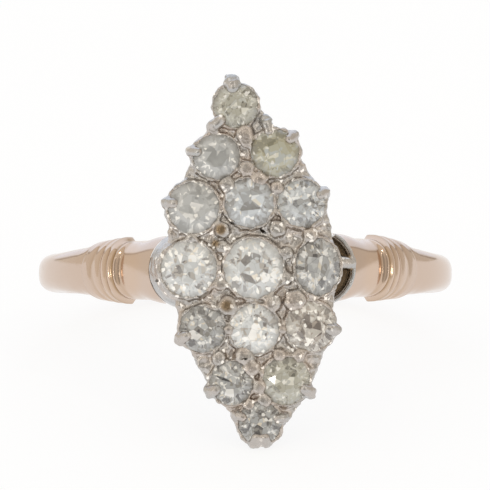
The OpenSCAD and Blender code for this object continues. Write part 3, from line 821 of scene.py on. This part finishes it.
def worn(thing, name, look):
    base = thing.data
    bpy.data.objects.remove(thing)
    return grow(name, reliefRule, look, silver, base)


def fused(thing, name, voxel, smooth):
    modify(thing, "REMESH", mode="VOXEL", voxel_size=voxel, use_smooth_shade=True)
    modify(thing, "SMOOTH", factor=0.5, iterations=smooth)
    return bake(thing, name)


def hollow(thing, cutters, name):
    cutter = joined("cutters", *cutters)
    modify(thing, "BOOLEAN", operation="DIFFERENCE", object=cutter, solver="MANIFOLD")
    done = bake(thing, name)
    bpy.data.objects.remove(cutter)
    return done


face = fused(headFace(), "fusedFace", fuseLook["voxel"], fuseLook["smooth"])
bpy.data.objects.remove(cupPart)
print("head fused", len(face.data.polygons), "faces")
face = worn(face, "reliefFace", reliefLook)
rooms, backs = seats()
face = hollow(face, pitCutters(pits), "pittedFace")
face = hollow(face, rooms, "seatedFace")
face = hollow(face, backs, "openFace")
print("seats cut", len(face.data.polygons), "faces")
modify(face, "DECIMATE", ratio=fuseLook["keep"])
face = bake(face, "head_face")


# Soiling and painted shade. Columns of the brown stains: place and radius. Columns of the darkest arcs of
# the cups' rims, where soiling and painted shade are strongest: stone, middle and half of the arc in
# degrees
stains = [(-1.5, 1.78, 0.46), (-1.76, 1.16, 0.44), (-1.25, -1.76, 0.5)]
dirtyRims = [(3, 90, 50), (6, 90, 45), (7, 90, 70), (5, -90, 45), (8, -90, 40), (11, -90, 45),
             (13, -90, 50), (12, 135, 45), (7, 180, 30), (10, 90, 40), (4, 100, 40)]
soilLook = {"rims": 0.16, "dirtyRims": 0.68, "arcFade": 12, "rimWidth": 0.05, "low": 0.6,
            "slotRadius": 1.45, "slotWidth": 0.21}


def soil(thing, deepest, dusty):
    # attributes for the finish: how much soiling and painted shade each point has, how much rusty staining
    # and painted shade in the slots, and how rough
    look, mesh = soilLook, thing.data
    count = len(mesh.vertices)
    co, normal = np.zeros(count * 3), np.zeros(count * 3)
    mesh.vertices.foreach_get("co", co)
    mesh.vertices.foreach_get("normal", normal)
    x, y, z = co.reshape(-1, 3).T
    up = normal.reshape(-1, 3)[:, 2]
    level = faceHeight(x, y)
    grime, outside = np.zeros(count), np.ones(count)
    for i, s in enumerate(stones):
        away = fromRim(s, x, y)
        outside = np.minimum(outside, away > 0)
        # painted shade and soiling: a dark ring round each cup's rim, strongest on the listed arcs
        rim = np.exp(-((away - look["rimWidth"]) / look["rimWidth"]) ** 2) * (z > level - 0.3)
        angle = np.degrees(np.arctan2(y - s.y, (x - s.x) / s.wide))
        share = np.full(count, look["rims"])
        for stone, middle, half in dirtyRims:
            if stone == i:
                apart = np.abs((angle - middle + 180) % 360 - 180)
                inArc = np.clip((half - apart) / look["arcFade"] + 1, 0, 1)
                share = np.maximum(share, look["dirtyRims"] * inArc)
        grime = np.maximum(grime, rim * share)
    # painted shade on metal that lies well below the face and faces up, as in the recesses under the stones
    deep = np.clip((level - deepest - z) / 0.25, 0, 1) * np.clip((up + 0.1) / 0.4, 0, 1)
    # dust and painted shade on the low metal between the parts, darkening its hollows
    low = np.clip((level - 0.06 - z) / 0.1, 0, 1) * np.clip((up - 0.2) / 0.5, 0, 1) * dusty * look["low"]
    grime = np.maximum(np.maximum(grime, low), deep) * outside
    # painted shade: the slots beside the right stone are turned brown low down
    right = sideStones[1]
    slot = np.abs(np.hypot(x - right.x, y - right.y) - look["slotRadius"]) < look["slotWidth"]
    rust = slot * np.clip((level - 0.5 - z) / 0.2, 0, 1) * (x > right.x) * outside
    for cx, cy, r in stains:
        near = np.clip(1.1 - np.hypot(x - cx, y - cy) / r, 0, 1) * (z > level - 0.4)
        rust = np.maximum(rust, near)
    rough = np.clip((z - level + 0.6) / 0.2, 0, 1)
    for cx, cy, r in outerClaws:
        rough = np.minimum(rough, np.clip((np.hypot(x - cx, y - cy) - r * 0.9) / 0.1, 0.35, 1))
    for label, values in (("grime", grime), ("rust", rust), ("rough", rough)):
        mesh.attributes.new(label, "FLOAT", "POINT").data.foreach_set("value", values)


soil(face, 0.3, 0.55)
smoothShade(face, 50)
layDown(face, silver)
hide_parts("head")
print("head face made", len(face.data.polygons), "faces")


# Gallery: struts, lower rail, finger rails, cheeks, bar and solder

galleryLook = {"railLength": 12.4, "railWidth": 6.4, "railHeight": 9.85, "railRadius": 0.25,
               "strut": 0.24, "footShare": 0.68, "kneeShare": 0.95, "kneeDepth": 0.95,
               "saddleY": 1.25, "saddleWidth": 0.6, "saddleIn": 8.68, "saddleOut": 9.75, "saddleReach": 24,
               "barPath": [(3.9, 0.33, 10.92), (4.25, 0.28, 10.82), (4.72, 0.28, 10.64)],
               "barRadii": [0.374, 0.34, 0.357]}
# Sections of the white cheeks, as distance from the stone's middle and height: on the left
# solder slopes from the cup to the gold, on the right a thin wall stands off
leftCheek = [(1.05, 8.9), (1.82, 8.4), (1.82, 10.45), (1.62, 11.1), (1.44, 11.62), (1.3, 11.62),
             (1.3, 9.2), (1.05, 9.2)]
rightCheek = [(1.05, 8.9), (1.82, 8.4), (1.82, 10.9), (1.72, 10.97), (1.62, 10.9), (1.6, 9.2),
              (1.05, 9.2)]
cheeks = [(-1, 76, leftCheek), (1, 62, rightCheek)]  # side, reach in degrees, section


def railPoint(x, y):
    look = galleryLook
    length, width, rail = look["railLength"], look["railWidth"], look["railRadius"] * 2
    along = max(rail - length / 2, min(length / 2 - rail, y * look["footShare"]))
    r = (length ** 2 + width ** 2) / (4 * width)
    half = sqrt(r * r - along * along) - r + width / 2 - rail / 2
    a = radians(headLook["axisLean"])
    side = copysign(1, x + y * tan(a))
    return (side * half * cos(a) - along * sin(a),
            side * half * sin(a) + along * cos(a), look["railHeight"])


def arcBar(name, section, reach, steps, toPlace):
    # bar along an arc; toPlace turns an angle and a corner of the section into a point
    angles = np.radians(np.linspace(-reach, reach, steps + 1))
    return skin(name, [[toPlace(a, r, h) for r, h in section] for a in angles])


def gallery():
    look, rods = galleryLook, []
    for x, y, r in outerClaws:
        foot, z = railPoint(x, y), faceHeight(x, y) - look["kneeDepth"]
        knee = (x * look["kneeShare"], y * look["kneeShare"], z)
        middle = tuple((a + b) / 2 for a, b in zip(foot, knee))
        rods.append(([foot, middle, knee, (x * 0.965, y * 0.965, z + 0.35)],
                     [look["strut"] * 1.1, look["strut"] * 0.92, look["strut"], r * 0.6]))
    rail = look["railRadius"] * 2
    outline = pointedOval(look["railLength"] - rail, look["railWidth"] - rail, headLook["axisLean"], 26)
    ring = [(x, y, look["railHeight"]) for x, y in outline]
    rods.append((ring + ring[:2], [look["railRadius"]] * (len(ring) + 2)))
    rods.append((look["barPath"], look["barRadii"]))
    parts = [rodsOf("rails", rods, 16, 90)]
    for side in (-1, 1):
        edges = [side * look["saddleY"] + half * look["saddleWidth"] / 2 for half in (-1, 1)]
        section = [(look["saddleIn"], edges[0]), (look["saddleOut"], edges[0]),
                   (look["saddleOut"], edges[1]), (look["saddleIn"], edges[1])]
        parts.append(arcBar(f"saddle{side}", section, look["saddleReach"], 40,
                            lambda a, r, h: (r * sin(a), h, r * cos(a))))
    for stone, (side, reach, section) in zip(sideStones, cheeks):
        parts.append(arcBar(f"cheek{side}", section, reach, 32, lambda a, r, h, stone=stone, side=side: (
            stone.x + side * r * cos(a), stone.y + r * sin(a), h)))
    return joined("gallery", *parts)


galleryMetal = fused(gallery(), "fusedGallery", 0.06, 2)
galleryMetal = worn(galleryMetal, "wornGallery", galleryRelief)
galleryMetal = hollow(galleryMetal, pitCutters(solderPits), "head_gallery")
soil(galleryMetal, 2.6, 0.35)
smoothShade(galleryMetal, 50)
layDown(galleryMetal, silver)
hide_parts("head")
print("gallery made", len(galleryMetal.data.polygons), "faces")


# Floor, light and camera

stageLook = {"floorRadius": 1.6, "floorColour": (0.93, 0.925, 0.92), "floorGlow": 0.8, "floorLight": 1.045,
             "room": (0.85, 0.8, 0.72), "bright": (1.06, 1.13, 1.26), "behindCamera": (0.44, 0.42, 0.39),
             "boxEdge": (0.22, 0.18, 0.14), "boxTilt": 1.34, "boxFrom": (1.14, 1.28),
             "edgeIn": (1.04, 1.12), "edgeOut": (1.2, 1.13), "edgeShare": 0.55,
             "patchTowards": (-0.03, -0.948, 0.317), "patchFrom": (0.86, 0.96),
             "rightFrom": (0.1, 0.8), "rightShade": 0.2, "lamp": (1, 0.98, 0.94)}


def floorFinish(graph, look):
    paint = graph.add("ShaderNodeBsdfDiffuse", {"Color": look["floorColour"]})
    glow = graph.add("ShaderNodeEmission", {"Color": (1, 1, 1), "Strength": look["floorLight"]})
    return graph.add("ShaderNodeMixShader", {0: look["floorGlow"], 1: paint, 2: glow})


corners = [(stageLook["floorRadius"] * cos(a), stageLook["floorRadius"] * sin(a), 0) for a in circle(64)]
floor = linked("floor", meshOf("floor", corners, [list(range(64))]))
floor.data.materials.append(finish("pale_floor", floorFinish, stageLook))


def skyLight(look):
    # a warm room, one large cool softbox overhead and behind, and a darker patch in front
    world = bpy.data.worlds.new("studio")
    bpy.context.scene.world = world
    world.use_nodes = True
    graph = Graph(world.node_tree)
    x, y, z = graph.split(graph.add("ShaderNodeTexCoord", output="Generated"))
    tilted = z + y * look["boxTilt"]
    edge = graph.ease(tilted, *look["edgeIn"]) * graph.ease(tilted, *look["edgeOut"])
    toX, toY, toZ = look["patchTowards"]
    dark = graph.ease(z * toZ + y * toY + x * toX, *look["patchFrom"])
    colour = graph.blend(graph.ease(tilted, *look["boxFrom"]), look["room"], look["bright"])
    colour = graph.blend(edge * look["edgeShare"], colour, look["boxEdge"])
    colour = graph.blend(dark, colour, look["behindCamera"])
    colour = graph.blend(graph.ease(x, *look["rightFrom"]) * look["rightShade"], colour, look["boxEdge"])
    shader = graph.add("ShaderNodeBackground", {"Color": colour, "Strength": 1.0})
    graph.add("ShaderNodeOutputWorld", {"Surface": shader})


skyLight(stageLook)
# Lamps: name, place, size and power
for name, place, size, power in (
        ("upperLeft", (-0.22, -0.38, 0.42), 0.04, 0.06), ("upperRight", (0.24, -0.36, 0.44), 0.04, 0.06),
        ("lowRight", (0.36, -0.46, 0.15), 0.06, 0.07), ("lowLeft", (-0.38, -0.45, 0.13), 0.06, 0.09)):
    light = bpy.data.lights.new(name, "AREA")
    light.shape, light.size, light.energy, light.color = "DISK", size, power, stageLook["lamp"]
    made = linked(name, light)
    made.location = place
    made.rotation_mode = "QUATERNION"
    made.rotation_quaternion = (Vector((0, -0.002, 0.008)) - Vector(place)).to_track_quat("-Z", "Y")

# The camera looks at the middle of the photograph's frame from nearly level with the head
cameraLook = {"distance": 300.0, "below": 1.3, "left": 1.8, "aim": (-0.394, 1.09, 11.95),
              "frame": 22.72, "sensor": 36.0}


def placeCamera(look):
    below, left = radians(look["below"]), radians(look["left"])
    back = Vector((-sin(left) * cos(below), -sin(below), cos(left) * cos(below)))
    spot = Vector(look["aim"]) + back * look["distance"]
    right = Vector((0, 1, 0)).cross(back).normalized()
    turn = leaning @ Matrix((right, back.cross(right), back)).transposed().to_4x4()
    camera = linked("camera", bpy.data.cameras.new("camera"))
    camera.data.sensor_width = look["sensor"]
    camera.data.lens = look["sensor"] / look["frame"] * look["distance"]
    camera.data.clip_start, camera.data.clip_end = 0.01, 10
    camera.matrix_world = Matrix.Translation(toRow @ spot) @ turn
    bpy.context.scene.camera = camera


placeCamera(cameraLook)
bpy.context.scene.view_settings.view_transform = "Standard"
print("stage, lights and camera set")
